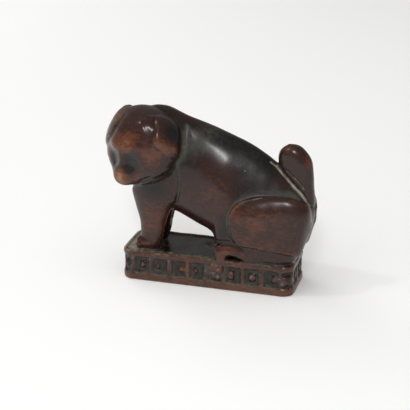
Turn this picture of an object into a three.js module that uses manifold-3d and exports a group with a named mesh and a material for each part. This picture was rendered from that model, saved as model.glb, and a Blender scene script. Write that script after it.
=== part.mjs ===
// A seated puppy on a studded plinth: a toggle carved from one block of boxwood.
// Millimetres, +Z up. The origin is the middle of the plinth's underside, +X points to the tail,
// and -Y is the side that the puppy looks out on.
import * as THREE from "three";
import { mergeVertices } from "three/addons/utils/BufferGeometryUtils.js";
import Module from "manifold-3d";

// The plinth
const plinthLength = 34;
const plinthWidth = 11.6;
const cornerRadius = 2.2;
const bottomRimHeight = 1.6;
const friezeHeight = 3.2;
const topRimHeight = 1.3;
const friezeDepth = 0.6;
const rimRound = 0.3;
const panelCount = 24;
const barWidth = 0.95;
const studRadius = 0.72;
const lawnDepth = 0.35;
const rimWidth = 0.8;

// The puppy, from the plinth's top to the crown of its head
const puppyHeight = 28;

// The drawing of the puppy: a grid of squares, stretched over the block that it is carved from.
// x runs along the plinth from its middle, y across it, and z up from its top.
const grid = { long: 34, wide: 11.6, tall: 28 };
const plinthTop = bottomRimHeight + friezeHeight + topRimHeight;
const onGrid = (x, y, z) =>
  new THREE.Vector3(
    (x * plinthLength) / grid.long,
    (y * plinthWidth) / grid.wide,
    plinthTop + (z * puppyHeight) / grid.tall,
  );

const wasm = await Module();
wasm.setup();

// A closed three.js geometry as a solid, turned to face outwards where it was mirrored.
function solid(geometry) {
  const bare = geometry.clone();
  bare.deleteAttribute("normal");
  bare.deleteAttribute("uv");
  const merged = mergeVertices(bare, 1e-4);
  const vertProperties = new Float32Array(merged.attributes.position.array);
  const triVerts = new Uint32Array(merged.index.array);
  const made = new wasm.Manifold(new wasm.Mesh({ numProp: 3, vertProperties, triVerts }));
  if (made.volume() > 0) return made;
  return new wasm.Manifold(
    new wasm.Mesh({ numProp: 3, vertProperties, triVerts: triVerts.toReversed() }),
  );
}

const join = (solids) => solids.reduce((whole, piece) => whole.add(piece));

// A skin through rings: ring(i) gives ring i's points, all going round the same way,
// and each end closes on the middle of its ring.
function skin(ringCount, around, ring) {
  const points = [];
  const faces = [];
  const middles = [0, ringCount - 1].map((i) => {
    const sum = new THREE.Vector3();
    ring(i).forEach((point) => sum.add(point));
    return sum.divideScalar(around);
  });
  for (let i = 0; i < ringCount; i++) points.push(...ring(i));
  points.push(...middles);
  const [first, last] = [points.length - 2, points.length - 1];
  for (let k = 0; k < around; k++) {
    const next = (k + 1) % around;
    faces.push(first, next, k);
    faces.push(last, (ringCount - 1) * around + k, (ringCount - 1) * around + next);
    for (let i = 0; i < ringCount - 1; i++) {
      const [a, b] = [i * around + k, i * around + next];
      faces.push(a, b, b + around);
      faces.push(a, b + around, a + around);
    }
  }
  const geometry = new THREE.BufferGeometry().setFromPoints(points);
  geometry.setIndex(faces);
  return solid(geometry);
}

// A limb or trunk between two rails drawn in side view. Each row is a section: the upper rail's
// x and z, the lower rail's x and z, half its width across, the y of its middle, and, where it
// isn't even, how much wider it is on the lower rail's side.
function limb(rows, { along = 4, around = 16 } = {}) {
  const upper = new THREE.CatmullRomCurve3(
    rows.map(([x, z, , , half]) => new THREE.Vector3(x, half, z)),
    false,
    "catmullrom",
  );
  const lower = new THREE.CatmullRomCurve3(
    rows.map(([, , x, z, , middle]) => new THREE.Vector3(x, middle, z)),
    false,
    "catmullrom",
  );
  const spread = new THREE.CatmullRomCurve3(
    rows.map((row) => new THREE.Vector3(row[6] ?? 0, 0, 0)),
    false,
    "catmullrom",
  );
  const steps = (rows.length - 1) * along;
  const endRound = 0.04;
  const at = (i) => Math.min(Math.max(i / steps, endRound / steps), 1 - endRound / steps);
  return skin(steps + 1, around, (i) => {
    const top = upper.getPoint(at(i));
    const low = lower.getPoint(at(i));
    const wider = spread.getPoint(at(i)).x;
    return Array.from({ length: around }, (_, k) => {
      const turn = (2 * Math.PI * k) / around;
      const share = (1 + Math.cos(turn)) / 2;
      const x = low.x + (top.x - low.x) * share;
      const z = low.z + (top.z - low.z) * share;
      const half = top.y * (1 - wider * Math.cos(turn));
      return onGrid(x, low.y - half * Math.sin(turn), z);
    });
  });
}

// A ball on the grid, with a radius each way and a tilt about the y axis.
function ball([x, y, z], [rx, ry, rz], { tilt = 0, across = 14, down = 10 } = {}) {
  const shape = new THREE.SphereGeometry(1, across, down);
  shape.rotateX(Math.PI / 2);
  shape.scale(rx, ry, rz);
  shape.rotateY(THREE.MathUtils.degToRad(tilt));
  shape.translate(x, y, z);
  const places = shape.attributes.position;
  for (let i = 0; i < places.count; i++) {
    const point = onGrid(places.getX(i), places.getY(i), places.getZ(i));
    places.setXYZ(i, point.x, point.y, point.z);
  }
  return solid(shape);
}

// The plinth's outline, inset from its edge, from the middle of its near side.
function plinthOutline(inset) {
  const [halfLength, halfWidth] = [plinthLength / 2 - inset, plinthWidth / 2 - inset];
  const radius = Math.max(cornerRadius - inset, 0.2);
  const [cornerX, cornerY] = [halfLength - radius, halfWidth - radius];
  const quarter = Math.PI / 2;
  const shape = new THREE.Shape();
  shape.moveTo(0, -halfWidth);
  shape.absarc(cornerX, -cornerY, radius, -quarter, 0);
  shape.absarc(cornerX, cornerY, radius, 0, quarter);
  shape.absarc(-cornerX, cornerY, radius, quarter, 2 * quarter);
  shape.absarc(-cornerX, -cornerY, radius, 2 * quarter, 3 * quarter);
  shape.closePath();
  return shape;
}

// A slab of the plinth from one height to another, with its edges rounded.
function slab(bottom, top, inset, round) {
  const shape = new THREE.ExtrudeGeometry(plinthOutline(inset + round), {
    depth: top - bottom - 2 * round,
    bevelEnabled: round > 0,
    bevelSize: round,
    bevelThickness: round,
    bevelSegments: 1,
    curveSegments: 3,
  });
  shape.translate(0, 0, bottom + round);
  return solid(shape);
}

// Where the frieze's line round the plinth is at a share of its length, and which way it faces.
function friezePlace(share) {
  const line = plinthOutline(0).getSpacedPoints(720);
  const index = Math.round(share * 720) % 720;
  const [before, here, after] = [line.at(index - 1), line[index], line[index + 1]];
  const outward = Math.atan2(before.x - after.x, after.y - before.y);
  return { x: here.x, y: here.y, outward };
}

// A bar or stud of the frieze, standing on the recessed field and flush with the rims.
function onFrieze(shape, share) {
  const { x, y, outward } = friezePlace(share);
  shape.rotateZ(outward);
  shape.translate(x, y, bottomRimHeight + friezeHeight / 2);
  return solid(shape);
}

function plinth() {
  const friezeTop = bottomRimHeight + friezeHeight;
  const pieces = [
    slab(0, bottomRimHeight, 0, rimRound),
    slab(friezeTop, plinthTop, 0, rimRound),
    slab(bottomRimHeight - rimRound, friezeTop + rimRound, friezeDepth, 0),
  ];
  const sunk = 0.2;
  const depth = friezeDepth + sunk;
  for (let panel = 0; panel < panelCount; panel++) {
    const bar = new THREE.BoxGeometry(depth, barWidth, friezeHeight + 2 * rimRound);
    bar.translate(-depth / 2, 0, 0);
    pieces.push(onFrieze(bar, panel / panelCount));
    const stud = new THREE.CylinderGeometry(studRadius * 0.7, studRadius, depth, 7);
    stud.rotateZ(-Math.PI / 2);
    stud.translate(-depth / 2, 0, 0);
    pieces.push(onFrieze(stud, (panel + 0.5) / panelCount));
  }
  const lawn = slab(plinthTop - lawnDepth, plinthTop + 1, rimWidth, 0);
  return join(pieces).subtract(lawn);
}

// The trunk, from the chest at the left to the rump at the right.
function trunk() {
  return limb(
    [
      [-14.6, 15.4, -14.6, 15.4, 0, -1.4],
      [-13.4, 26.2, -13.6, 10.8, 3.6, -1.2],
      [-9.8, 28.3, -11, 8, 4.4, -0.8],
      [-5, 26.5, -7.4, 7.3, 4.8, -0.3, 0.04],
      [-1, 25.1, -3.2, 5.3, 5.4, 0, 0.1],
      [3.6, 23.35, 0.4, 3.5, 5.8, 0, 0.18],
      [7.5, 21.75, 1.1, 0.5, 5.8, 0, 0.25],
      [11.5, 19.3, 4, -0.8, 5.6, 0, 0.28],
      [15, 16.5, 10, -1, 5.2, 0, 0.28],
      [18, 14, 15, -0.6, 4.7, 0, 0.26],
      [19.4, 11, 17.8, 3, 3.4, 0, 0.2],
      [19.6, 8, 19.6, 8, 0, 0],
    ],
    { along: 2, around: 26 },
  );
}

// A foreleg with its paw: side is -1 for the near one and 1 for the far one.
const pawMiddle = 2.5;
const toeFaces = { across: 7, down: 5 };

function foreleg(side) {
  const leg = limb(
    [
      [-10.6, 21.6, -8.4, 21.4, 0.5, 2.2 * side],
      [-13, 19.4, -6, 18.9, 2.2, 2.8 * side],
      [-14.7, 15.9, -5, 15.2, 2.7, 3.2 * side],
      [-15, 12, -5.4, 11.5, 2.6, 3.2 * side],
      [-14.5, 8.6, -7.6, 8.5, 2.1, 2.9 * side],
      [-13.85, 5.4, -8.9, 5.4, 1.7, 2.6 * side],
      [-13.8, 2.6, -9.4, 2.6, 1.45, 2.4 * side],
      [-13.4, -0.4, -10.3, -0.6, 1.4, 2.4 * side],
    ],
    { along: 2, around: 14 },
  );
  const paw = ball([-12.5, pawMiddle * side, 0.9], [2.3, 1.55, 1.4], { across: 12, down: 8 });
  const toes = [-1.05, -0.35, 0.35, 1.05].map((across) => {
    const back = 0.25 * Math.abs(across);
    return ball([-14 + back, pawMiddle * side + across, 0.5], [0.85, 0.45, 0.85], toeFaces);
  });
  return join([leg, paw, ...toes]);
}

// A folded hind leg: the haunch, and the foot that runs forward from under it.
function hindLeg(side) {
  const haunch = limb(
    [
      [4.2, 9.4, 4.2, 9.4, 0, 3.4 * side],
      [5.5, 11.4, 5, 5.6, 2.5, 3.4 * side],
      [8.6, 12.7, 7, 1.8, 3.1, 3.4 * side],
      [12.6, 13.2, 10.6, -0.5, 2.95, 3.4 * side],
      [16.4, 12.9, 14.6, -1, 2.5, 3.3 * side],
      [18.9, 11, 17.1, 0.8, 1.9, 2.9 * side],
      [19.5, 7, 19.5, 7, 0, 2.2 * side],
    ],
    { along: 2, around: 16 },
  );
  const shank = limb(
    [
      [1.4, 2.8, 1.8, 0.5, 0.9, 5 * side],
      [3.4, 3.1, 3.4, 0.8, 1.1, 5 * side],
      [6.2, 3.2, 5.6, 0.9, 1.1, 5 * side],
      [9.6, 3.8, 8.4, -0.4, 1.2, 4.7 * side],
      [13, 5, 12, -0.6, 1.2, 4.2 * side],
    ],
    { along: 2, around: 10 },
  );
  return join([haunch, shank]);
}

// The near hind paw bends down over the plinth's rim with its toes, the far one rests on top.
function hindPaws() {
  const near = ball([2.9, -5.3, 0.8], [1.1, 1, 2.3], { across: 12, down: 8 });
  const toes = [0, 1, 2].map((toe) =>
    ball([1.3 + 0.9 * toe, -6, -1.4 - 0.1 * toe], [0.55, 0.6, 0.95], toeFaces),
  );
  const far = ball([1.5, 4.9, 0.9], [1.9, 1.15, 1], { across: 12, down: 8 });
  return [near, ...toes, far];
}

// The tail: a flat lobe curled up on the rump, seen broadside.
function tail() {
  return limb(
    [
      [14.5, 22.7, 14.5, 22.7, 0, 0],
      [16.8, 22.2, 12.8, 21.1, 1.5, 0],
      [18.8, 20, 12.7, 18.6, 1.9, 0],
      [19.3, 17.4, 14.2, 15.8, 1.9, 0],
      [19.5, 14.6, 16.4, 12.8, 1.8, 0],
      [19.8, 11, 17.6, 10, 1.4, 0],
      [19, 9, 18, 8.6, 0.4, 0],
    ],
    { along: 2, around: 14 },
  );
}

// The head turns to the near side and bows. Its own frame has "ahead" out of the face,
// "side" to the near ear and "up" through the crown.
const headCentre = new THREE.Vector3(-12.65, -2.5, 20.6);
const headRadii = { ahead: 6.8, side: 7.7, up: 7.9 };
const headTurn = 66;
const headBow = 14;

function headFrame() {
  const turn = THREE.MathUtils.degToRad(headTurn);
  const bow = THREE.MathUtils.degToRad(headBow);
  const level = new THREE.Vector3(-Math.cos(turn), -Math.sin(turn), 0);
  const side = new THREE.Vector3(Math.sin(turn), -Math.cos(turn), 0);
  const ahead = level.clone().multiplyScalar(Math.cos(bow));
  ahead.z = -Math.sin(bow);
  const up = level.clone().multiplyScalar(Math.sin(bow));
  up.z = Math.cos(bow);
  return { ahead, side, up };
}

// What rises above the head's plain egg, or sinks below it: where in degrees from the middle of
// the face, how wide and tall in degrees, and how much.
const faceForms = [
  { yaw: -4, pitch: -25, wide: 23, tall: 18, rise: 2.1 },
  { yaw: 0, pitch: 10, wide: 7, tall: 14, rise: 0.35 },
  { yaw: -19, pitch: 2, wide: 9, tall: 12, rise: -0.55 },
  { yaw: 19, pitch: 2, wide: 9, tall: 12, rise: -0.55 },
  { yaw: -19, pitch: 24, wide: 14, tall: 8, rise: 0.35 },
  { yaw: 19, pitch: 24, wide: 14, tall: 8, rise: 0.35 },
  { yaw: -48, pitch: -14, wide: 18, tall: 18, rise: 0.3 },
  { yaw: 48, pitch: -14, wide: 18, tall: 18, rise: 0.3 },
  { yaw: -55, pitch: 46, wide: 28, tall: 24, rise: -0.8 },
];

// A point on the head, given by degrees of yaw to the near side and of pitch, and a height
// above the skin.
function onHead(yaw, pitch, above) {
  const [a, b] = [THREE.MathUtils.degToRad(yaw), THREE.MathUtils.degToRad(pitch)];
  const [ahead, side, up] = [Math.cos(b) * Math.cos(a), Math.cos(b) * Math.sin(a), Math.sin(b)];
  const egg = 1 / Math.hypot(
    ahead / headRadii.ahead,
    side / headRadii.side,
    up / headRadii.up,
  );
  const rise = faceForms.reduce((sum, form) => {
    const off = Math.hypot((yaw - form.yaw) / form.wide, (pitch - form.pitch) / form.tall);
    return sum + form.rise * Math.exp(-off * off);
  }, 0);
  const frame = headFrame();
  const point = headCentre.clone();
  const reach = egg + rise + above;
  point.addScaledVector(frame.ahead, ahead * reach);
  point.addScaledVector(frame.side, side * reach);
  point.addScaledVector(frame.up, up * reach);
  return onGrid(point.x, point.y, point.z);
}

function skull() {
  const [rings, around] = [24, 32];
  const steepest = 87;
  return skin(rings, around, (i) => {
    const pitch = steepest * ((2 * i) / (rings - 1) - 1);
    return Array.from({ length: around }, (_, k) => onHead((360 * k) / around - 180, pitch, 0));
  });
}

// An ear lies on the head as a leaf: rows of yaw and pitch at its front edge, the same at its
// back edge, and how high its middle stands.
function ear(rows, { along = 2, around = 10, sunk = 0.6 } = {}) {
  const front = new THREE.CatmullRomCurve3(
    rows.map(([yaw, pitch, , , high]) => new THREE.Vector3(yaw, pitch, high)),
    false,
    "catmullrom",
  );
  const back = new THREE.CatmullRomCurve3(
    rows.map(([, , yaw, pitch]) => new THREE.Vector3(yaw, pitch, 0)),
    false,
    "catmullrom",
  );
  const steps = (rows.length - 1) * along;
  return skin(steps + 1, around, (i) => {
    const from = front.getPoint(i / steps);
    const to = back.getPoint(i / steps);
    return Array.from({ length: around }, (_, k) => {
      const turn = (2 * Math.PI * k) / around;
      const share = (1 - Math.cos(turn)) / 2;
      const lift = Math.sin(turn);
      const above = lift > 0 ? from.z * Math.sqrt(lift) : sunk * lift;
      return onHead(
        from.x + (to.x - from.x) * share,
        from.y + (to.y - from.y) * share,
        above,
      );
    });
  });
}

// The near ear hangs from the crown over the cheek. Only the front edge of the far one shows.
const nearEarRows = [
  [58, 66, 118, 56, 0.4],
  [56, 48, 122, 38, 0.7],
  [57, 32, 119, 20, 0.8],
  [64, 19, 112, 4, 0.7],
  [74, 4, 102, -7, 0.6],
  [83, -8, 92, -12, 0.3],
];
const farEarRows = [
  [-80, 68, -120, 58, 0.5],
  [-54, 62, -124, 44, 0.75],
  [-42, 51, -122, 26, 0.75],
  [-42, 36, -114, 10, 0.65],
  [-46, 21, -100, -4, 0.5],
  [-54, 8, -84, -10, 0.3],
];

const carving = join([
  plinth(),
  trunk(),
  foreleg(-1),
  foreleg(1),
  hindLeg(-1),
  hindLeg(1),
  ...hindPaws(),
  tail(),
  skull(),
  ear(nearEarRows),
  ear(farEarRows),
]);

function meshOf(name, whole, material) {
  const { vertProperties, triVerts } = whole.getMesh();
  const geometry = new THREE.BufferGeometry();
  geometry.setAttribute("position", new THREE.BufferAttribute(vertProperties, 3));
  geometry.setIndex(new THREE.BufferAttribute(triVerts, 1));
  geometry.computeVertexNormals();
  const mesh = new THREE.Mesh(geometry, material);
  mesh.name = name;
  return mesh;
}

const stainedBoxwood = new THREE.MeshStandardMaterial({
  color: 0x4b2f28,
  roughness: 0.32,
  metalness: 0,
});

const puppyNetsuke = new THREE.Group();
puppyNetsuke.add(meshOf("puppy_netsuke", carving, stainedBoxwood));

export default puppyNetsuke;
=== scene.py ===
import math
from functools import partial

import bmesh
import bpy
import numpy as np
from mathutils import Matrix, Vector
from mathutils.bvhtree import BVHTree


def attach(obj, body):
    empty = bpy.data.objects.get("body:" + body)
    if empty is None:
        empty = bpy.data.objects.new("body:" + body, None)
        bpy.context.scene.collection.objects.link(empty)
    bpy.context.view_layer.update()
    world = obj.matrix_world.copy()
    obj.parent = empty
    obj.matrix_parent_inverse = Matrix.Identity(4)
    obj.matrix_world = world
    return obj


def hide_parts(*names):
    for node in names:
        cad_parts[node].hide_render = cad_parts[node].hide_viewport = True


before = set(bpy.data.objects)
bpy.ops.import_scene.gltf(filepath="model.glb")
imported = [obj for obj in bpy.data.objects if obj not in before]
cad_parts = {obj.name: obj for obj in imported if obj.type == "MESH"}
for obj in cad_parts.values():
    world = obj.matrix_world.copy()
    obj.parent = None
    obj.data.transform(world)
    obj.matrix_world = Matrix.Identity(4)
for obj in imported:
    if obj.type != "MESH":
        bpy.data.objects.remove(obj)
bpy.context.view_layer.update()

mm = 0.001
pictureSize = 410  # the photograph's frame, in pixels

# Camera: fitted to the plinth's edges in the photograph
cameraSettings = {
    "azimuth": 16.0,
    "elevation": 21.5,
    "distance": 260.0,  # mm
    "pixelsPerMm": 5.105,  # at the aim point
    "aimAlong": -1.62,  # mm to the camera's right of the origin
    "aimUp": 13.9,
    "sensor": 36.0,
}
focalPixels = cameraSettings["pixelsPerMm"] * cameraSettings["distance"]


def cameraAxes():
    turn = math.radians(cameraSettings["azimuth"])
    rise = math.radians(cameraSettings["elevation"])
    back = Vector((math.sin(turn) * math.cos(rise), -math.cos(turn) * math.cos(rise), math.sin(rise)))
    right = Vector((math.cos(turn), math.sin(turn), 0))
    up = back.cross(right)
    aim = right * cameraSettings["aimAlong"] + up * cameraSettings["aimUp"]
    return aim + back * cameraSettings["distance"], right, up, back


def makeCamera():
    eye, right, up, back = cameraAxes()
    data = bpy.data.cameras.new("camera")
    data.sensor_width = cameraSettings["sensor"]
    data.lens = cameraSettings["sensor"] * focalPixels / pictureSize
    data.clip_start = 0.01
    data.clip_end = 20
    camera = bpy.data.objects.new("camera", data)
    turned = Matrix((right, up, back)).transposed().to_4x4()
    camera.matrix_world = Matrix.Translation(eye * mm) @ turned
    bpy.context.collection.objects.link(camera)
    bpy.context.scene.camera = camera


# The camera's eye, and its ray through a pixel
def pixelRay(u, v):
    eye, right, up, back = cameraAxes()
    half = pictureSize / 2
    ray = right * ((u - half) / focalPixels) + up * ((half - v) / focalPixels) - back
    return eye, ray.normalized()


# The pixel that each point is seen at
def project(points):
    eye, right, up, back = (np.array(v) for v in cameraAxes())
    away = points - eye
    depth = -(away @ back)
    u = pictureSize / 2 + focalPixels * (away @ right) / depth
    v = pictureSize / 2 - focalPixels * (away @ up) / depth
    return np.stack([u, v], axis=1)


makeCamera()
print("camera set")

# Everything below is modelled in millimetres and turned to metres at the end
plinth = {
    "length": 34.0,
    "width": 11.6,
    "cornerRadius": 2.2,
    "bottomRim": 1.6,
    "frieze": 3.2,
    "topRim": 1.3,
    "friezeDepth": 0.6,
    "rimRound": 0.3,
    "panels": 24,
    "barWidth": 0.95,
    "barVaries": 0.22,  # share of its width
    "barDepth": 0.78,
    "barBehindRim": 0.2,
    "studRise": 1.15,  # shares of the frieze's depth
    "studBehindRim": 1.2,
    "lawnDepth": 0.35,
    "rimWidth": 0.8,
}
friezeTop = plinth["bottomRim"] + plinth["frieze"]
plinthTop = friezeTop + plinth["topRim"]

# Each row of a limb: upper rail x, z; lower rail x, z; half width across; y of its middle; and how
# much wider than the upper rail's side the lower one's is. z counts from the plinth's top.
trunkRows = [
    (-14.6, 15.4, -14.6, 15.4, 0, -1.4, 0),
    (-13.4, 26.2, -13.6, 10.8, 3.6, -1.2, 0),
    (-9.8, 28.3, -11, 8, 4.4, -0.8, 0),
    (-5, 26.5, -7.4, 7.3, 4.8, -0.3, 0.04),
    (-1, 25.1, -3.2, 5.3, 5.4, 0, 0.1),
    (3.6, 23.35, 0.4, 3.5, 5.8, 0, 0.18),
    (7.5, 21.75, 1.1, 0.5, 5.8, 0, 0.25),
    (11.5, 19.3, 4, -0.8, 5.6, 0, 0.28),
    (15, 16.5, 10, -1, 5.2, 0, 0.28),
    (18, 14, 15, -0.6, 4.7, 0, 0.26),
    (19.4, 11, 17.8, 3, 3.4, 0, 0.2),
    (19.6, 8, 19.6, 8, 0, 0, 0),
]
forelegRows = [
    (-10.6, 21.6, -8.4, 21.4, 0.5, 2.2),
    (-13, 19.4, -6, 18.9, 2.2, 2.8),
    (-14.7, 15.9, -5, 15.2, 2.7, 3.2),
    (-15, 12, -5.4, 11.5, 2.6, 3.2),
    (-14.5, 8.6, -7.6, 8.5, 2.1, 2.9),
    (-13.85, 5.4, -8.9, 5.4, 1.7, 2.6),
    (-13.8, 2.6, -9.4, 2.6, 1.45, 2.4),
    (-13.4, -0.4, -10.3, -0.6, 1.4, 2.4),
]
haunchRows = [
    (4.2, 9.4, 4.2, 9.4, 0, 3.4),
    (5.5, 11.4, 5, 5.6, 2.5, 3.4),
    (8.6, 12.7, 7, 1.8, 3.1, 3.4),
    (12.6, 13.2, 10.6, -0.5, 2.95, 3.4),
    (16.4, 12.9, 14.6, -1, 2.5, 3.3),
    (18.9, 11, 17.1, 0.8, 1.9, 2.9),
    (19.5, 7, 19.5, 7, 0, 2.2),
]
shankRows = [
    (1.4, 2.8, 1.8, 0.5, 0.9, 5),
    (3.4, 3.1, 3.4, 0.8, 1.1, 5),
    (6.2, 3.2, 5.6, 0.9, 1.1, 5),
    (9.6, 3.8, 8.4, -0.4, 1.2, 4.7),
    (13, 5, 12, -0.6, 1.2, 4.2),
]
tailRows = [
    (14.5, 22.7, 14.5, 22.7, 0, 0),
    (16.8, 22.2, 12.8, 21.1, 1.5, 0),
    (18.8, 20, 12.7, 18.6, 1.9, 0),
    (19.3, 17.4, 14.2, 15.8, 1.9, 0),
    (19.5, 14.6, 16.4, 12.8, 1.8, 0),
    (19.8, 11, 17.6, 10, 1.4, 0),
    (19, 9, 18, 8.6, 0.4, 0),
]


# A smooth curve through rows of numbers, for an array of t from 0 to 1
def curveAt(rows, t):
    rows = np.array(rows, float)
    rows = np.vstack([2 * rows[0] - rows[1], rows, 2 * rows[-1] - rows[-2]])
    place = np.clip(t, 0, 1) * (len(rows) - 3)
    index = np.minimum(place.astype(int), len(rows) - 4)
    part = (place - index)[:, None]
    before, one, two, after = (rows[index + step] for step in range(4))
    slopeOne, slopeTwo = (two - before) / 2, (after - one) / 2
    return (
        (2 * part**3 - 3 * part**2 + 1) * one
        + (part**3 - 2 * part**2 + part) * slopeOne
        + (3 * part**2 - 2 * part**3) * two
        + (part**3 - part**2) * slopeTwo
    ).T


# Each form is made in a small mesh of its own, which joins the whole: that is much faster
def addTo(mesh, form):
    data = bpy.data.meshes.new("form")
    form.to_mesh(data)
    form.free()
    mesh.from_mesh(data)
    bpy.data.meshes.remove(data)


# A closed form: a sphere whose points go where place(t, turn) says, with t from pole to pole
def addForm(mesh, around, along, place):
    form = bmesh.new()
    verts = bmesh.ops.create_uvsphere(form, u_segments=around, v_segments=along, radius=1)["verts"]
    unit = np.array([vert.co for vert in verts])
    t = np.arccos(np.clip(-unit[:, 2], -1, 1)) / math.pi
    points = place(t, np.arctan2(unit[:, 1], unit[:, 0]))
    # a pole lies in the middle of a small ring of samples round it
    samples = 16
    ringTurns = np.arange(samples) * 2 * math.pi / samples
    for index in np.flatnonzero(np.minimum(t, 1 - t) < 1e-4):
        besidePole = 0.003 if t[index] < 0.5 else 0.997
        points[index] = place(np.full(samples, besidePole), ringTurns).mean(axis=0)
    for vert, point in zip(verts, points):
        vert.co = point
    bmesh.ops.recalc_face_normals(form, faces=form.faces[:])
    addTo(mesh, form)


def power(values, exponent):
    return np.sign(values) * np.abs(values) ** exponent


# square under 1 makes a limb's sections fuller than an ellipse
def addLimb(mesh, rows, side=1, around=64, along=96, square=1.0):
    def place(t, turn):
        topX, topZ, lowX, lowZ, half, middle, *spread = curveAt(rows, t)
        share = (1 + power(np.cos(turn), square)) / 2
        if spread:
            half = half * (1 - spread[0] * np.cos(turn))
        y = middle - half * power(np.sin(turn), square)
        x = lowX + (topX - lowX) * share
        z = lowZ + (topZ - lowZ) * share
        return np.stack([x, y * side, plinthTop + z], axis=1)

    addForm(mesh, around, along, place)


def addBall(mesh, centre, radii, around=32, along=24):
    def place(t, turn):
        flat = np.sin(math.pi * t)
        unit = np.stack([flat * np.cos(turn), flat * np.sin(turn), -np.cos(math.pi * t)], axis=1)
        return unit * np.array(radii) + np.array(centre) + np.array((0, 0, plinthTop))

    addForm(mesh, around, along, place)


# The plinth's outline from the middle of its near side, by distance along it
def outlineAt(distance, inset=0.0):
    radius = plinth["cornerRadius"]
    halfX = plinth["length"] / 2 - radius
    halfY = plinth["width"] / 2 - radius
    quarter = math.pi / 2 * radius
    stretches = [
        (halfX, (0, -halfY - radius), 0),
        (quarter, (halfX, -halfY), -90),
        (2 * halfY, (halfX + radius, -halfY), 90),
        (quarter, (halfX, halfY), 0),
        (2 * halfX, (halfX, halfY + radius), 180),
        (quarter, (-halfX, halfY), 90),
        (2 * halfY, (-halfX - radius, halfY), 270),
        (quarter, (-halfX, -halfY), 180),
        (halfX, (-halfX, -halfY - radius), 0),
    ]
    distance = distance % sum(length for length, _, _ in stretches)
    for number, (length, start, angle) in enumerate(stretches):
        if distance <= length:
            break
        distance -= length
    if number % 2:  # a corner
        outward = math.radians(angle) + distance / radius
        point = Vector(start) + radius * Vector((math.cos(outward), math.sin(outward)))
    else:
        ahead = math.radians(angle)
        outward = ahead - math.pi / 2
        point = Vector(start) + distance * Vector((math.cos(ahead), math.sin(ahead)))
    facing = Vector((math.cos(outward), math.sin(outward)))
    return point - facing * inset, outward


def outlineLength():
    radius = plinth["cornerRadius"]
    return 2 * (plinth["length"] + plinth["width"]) - (8 - 2 * math.pi) * radius


def addPlinth(mesh):
    rounding = plinth["rimRound"]
    eased = rounding * 0.3
    slope = 0.05
    profile = [  # height, inset
        (0, rounding),
        (eased, eased),
        (rounding, 0),
        (plinth["bottomRim"] - rounding, 0),
        (plinth["bottomRim"], rounding),
        (plinth["bottomRim"] + slope, plinth["friezeDepth"]),
        (friezeTop - slope, plinth["friezeDepth"]),
        (friezeTop, rounding),
        (friezeTop + rounding, 0),
        (plinthTop - rounding, 0),
        (plinthTop - eased, eased),
        (plinthTop, rounding),
        (plinthTop, plinth["rimWidth"]),
        (plinthTop - plinth["lawnDepth"], plinth["rimWidth"] + 3 * slope),
    ]
    segments = 240
    form = bmesh.new()
    rings = []
    for number, (height, inset) in enumerate(profile):
        capped = number in (0, len(profile) - 1)
        ring = bmesh.ops.create_circle(form, cap_ends=capped, segments=segments, radius=1)["verts"]
        for vert in ring:
            turn = math.atan2(vert.co.y, vert.co.x) / (2 * math.pi)
            point, _ = outlineAt(turn * outlineLength(), inset)
            vert.co = (point.x, point.y, height)
        rings.append(ring)
    for lower, upper in zip(rings, rings[1:]):
        for corner in range(segments):
            after = (corner + 1) % segments
            form.faces.new((lower[corner], lower[after], upper[after], upper[corner]))
    bmesh.ops.recalc_face_normals(form, faces=form.faces[:])
    addTo(mesh, form)


# Panels of the near side from its middle: the stud's shift along, half width, half height and how
# square it is; the others are ordinary
studShapes = {
    -4: (0.1, 0.6, 0.6, 0.2),
    -3: (-0.5, 0.45, 0.5, 0.2),
    -2: (0.7, 0.6, 0.62, 0.3),
    -1: (-0.1, 0.4, 0.4, 0.1),
    0: (0.0, 1.3, 1.15, 1.0),
    1: (-0.45, 0.55, 0.8, 0.8),
    2: (0.1, 0.8, 0.85, 0.2),
    3: (0.75, 0.62, 0.7, 0.2),
    4: (-0.25, 1.1, 0.95, 0.9),
}
ordinaryStud = (0.0, 0.68, 0.7, 0.3)


# A place on the frieze's middle line: x points outwards there, y along and z up
def onFrieze(distance):
    point, outward = outlineAt(distance)
    middle = plinth["bottomRim"] + plinth["frieze"] / 2
    return Matrix.Translation((point.x, point.y, middle)) @ Matrix.Rotation(outward, 4, "Z")


# The bars' widths vary, as by hand
def addBar(form, number, place):
    uneven = 1 + plinth["barVaries"] * math.sin(number * 2.7)
    tall = plinth["frieze"] + 2 * plinth["rimRound"]
    size = Vector((plinth["barDepth"], plinth["barWidth"] * uneven, tall))
    bar = bmesh.ops.create_cube(form, size=1)["verts"]
    inwards = Matrix.Translation((-plinth["barBehindRim"] - size.x / 2, 0, 0))
    bmesh.ops.transform(form, matrix=place @ inwards @ Matrix.Diagonal((*size, 1)), verts=bar)


# A stud is an egg that squareness, from 0 to 1, makes fuller at its corners
def addStud(form, place, halfWide, halfTall, squareness):
    depth = plinth["friezeDepth"]
    radii = (depth * plinth["studRise"], halfWide, halfTall)
    stud = bmesh.ops.create_uvsphere(form, u_segments=24, v_segments=16, radius=1)["verts"]
    for vert in stud:
        fuller = [math.copysign(abs(c) ** (1 - 0.6 * squareness), c) for c in vert.co]
        vert.co = [share * radius for share, radius in zip(fuller, radii)]
    inwards = Matrix.Translation((-depth * plinth["studBehindRim"], 0, 0))
    bmesh.ops.transform(form, matrix=place @ inwards, verts=stud)


def addFrieze(mesh):
    panels = plinth["panels"]
    step = outlineLength() / panels
    form = bmesh.new()
    for panel in range(panels):
        addBar(form, panel, onFrieze(panel * step))
        number = panel - panels if panel > panels / 2 else panel
        shift, *shape = studShapes.get(number, ordinaryStud)
        addStud(form, onFrieze((panel + 0.5) * step + shift), *shape)
    addTo(mesh, form)


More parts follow.
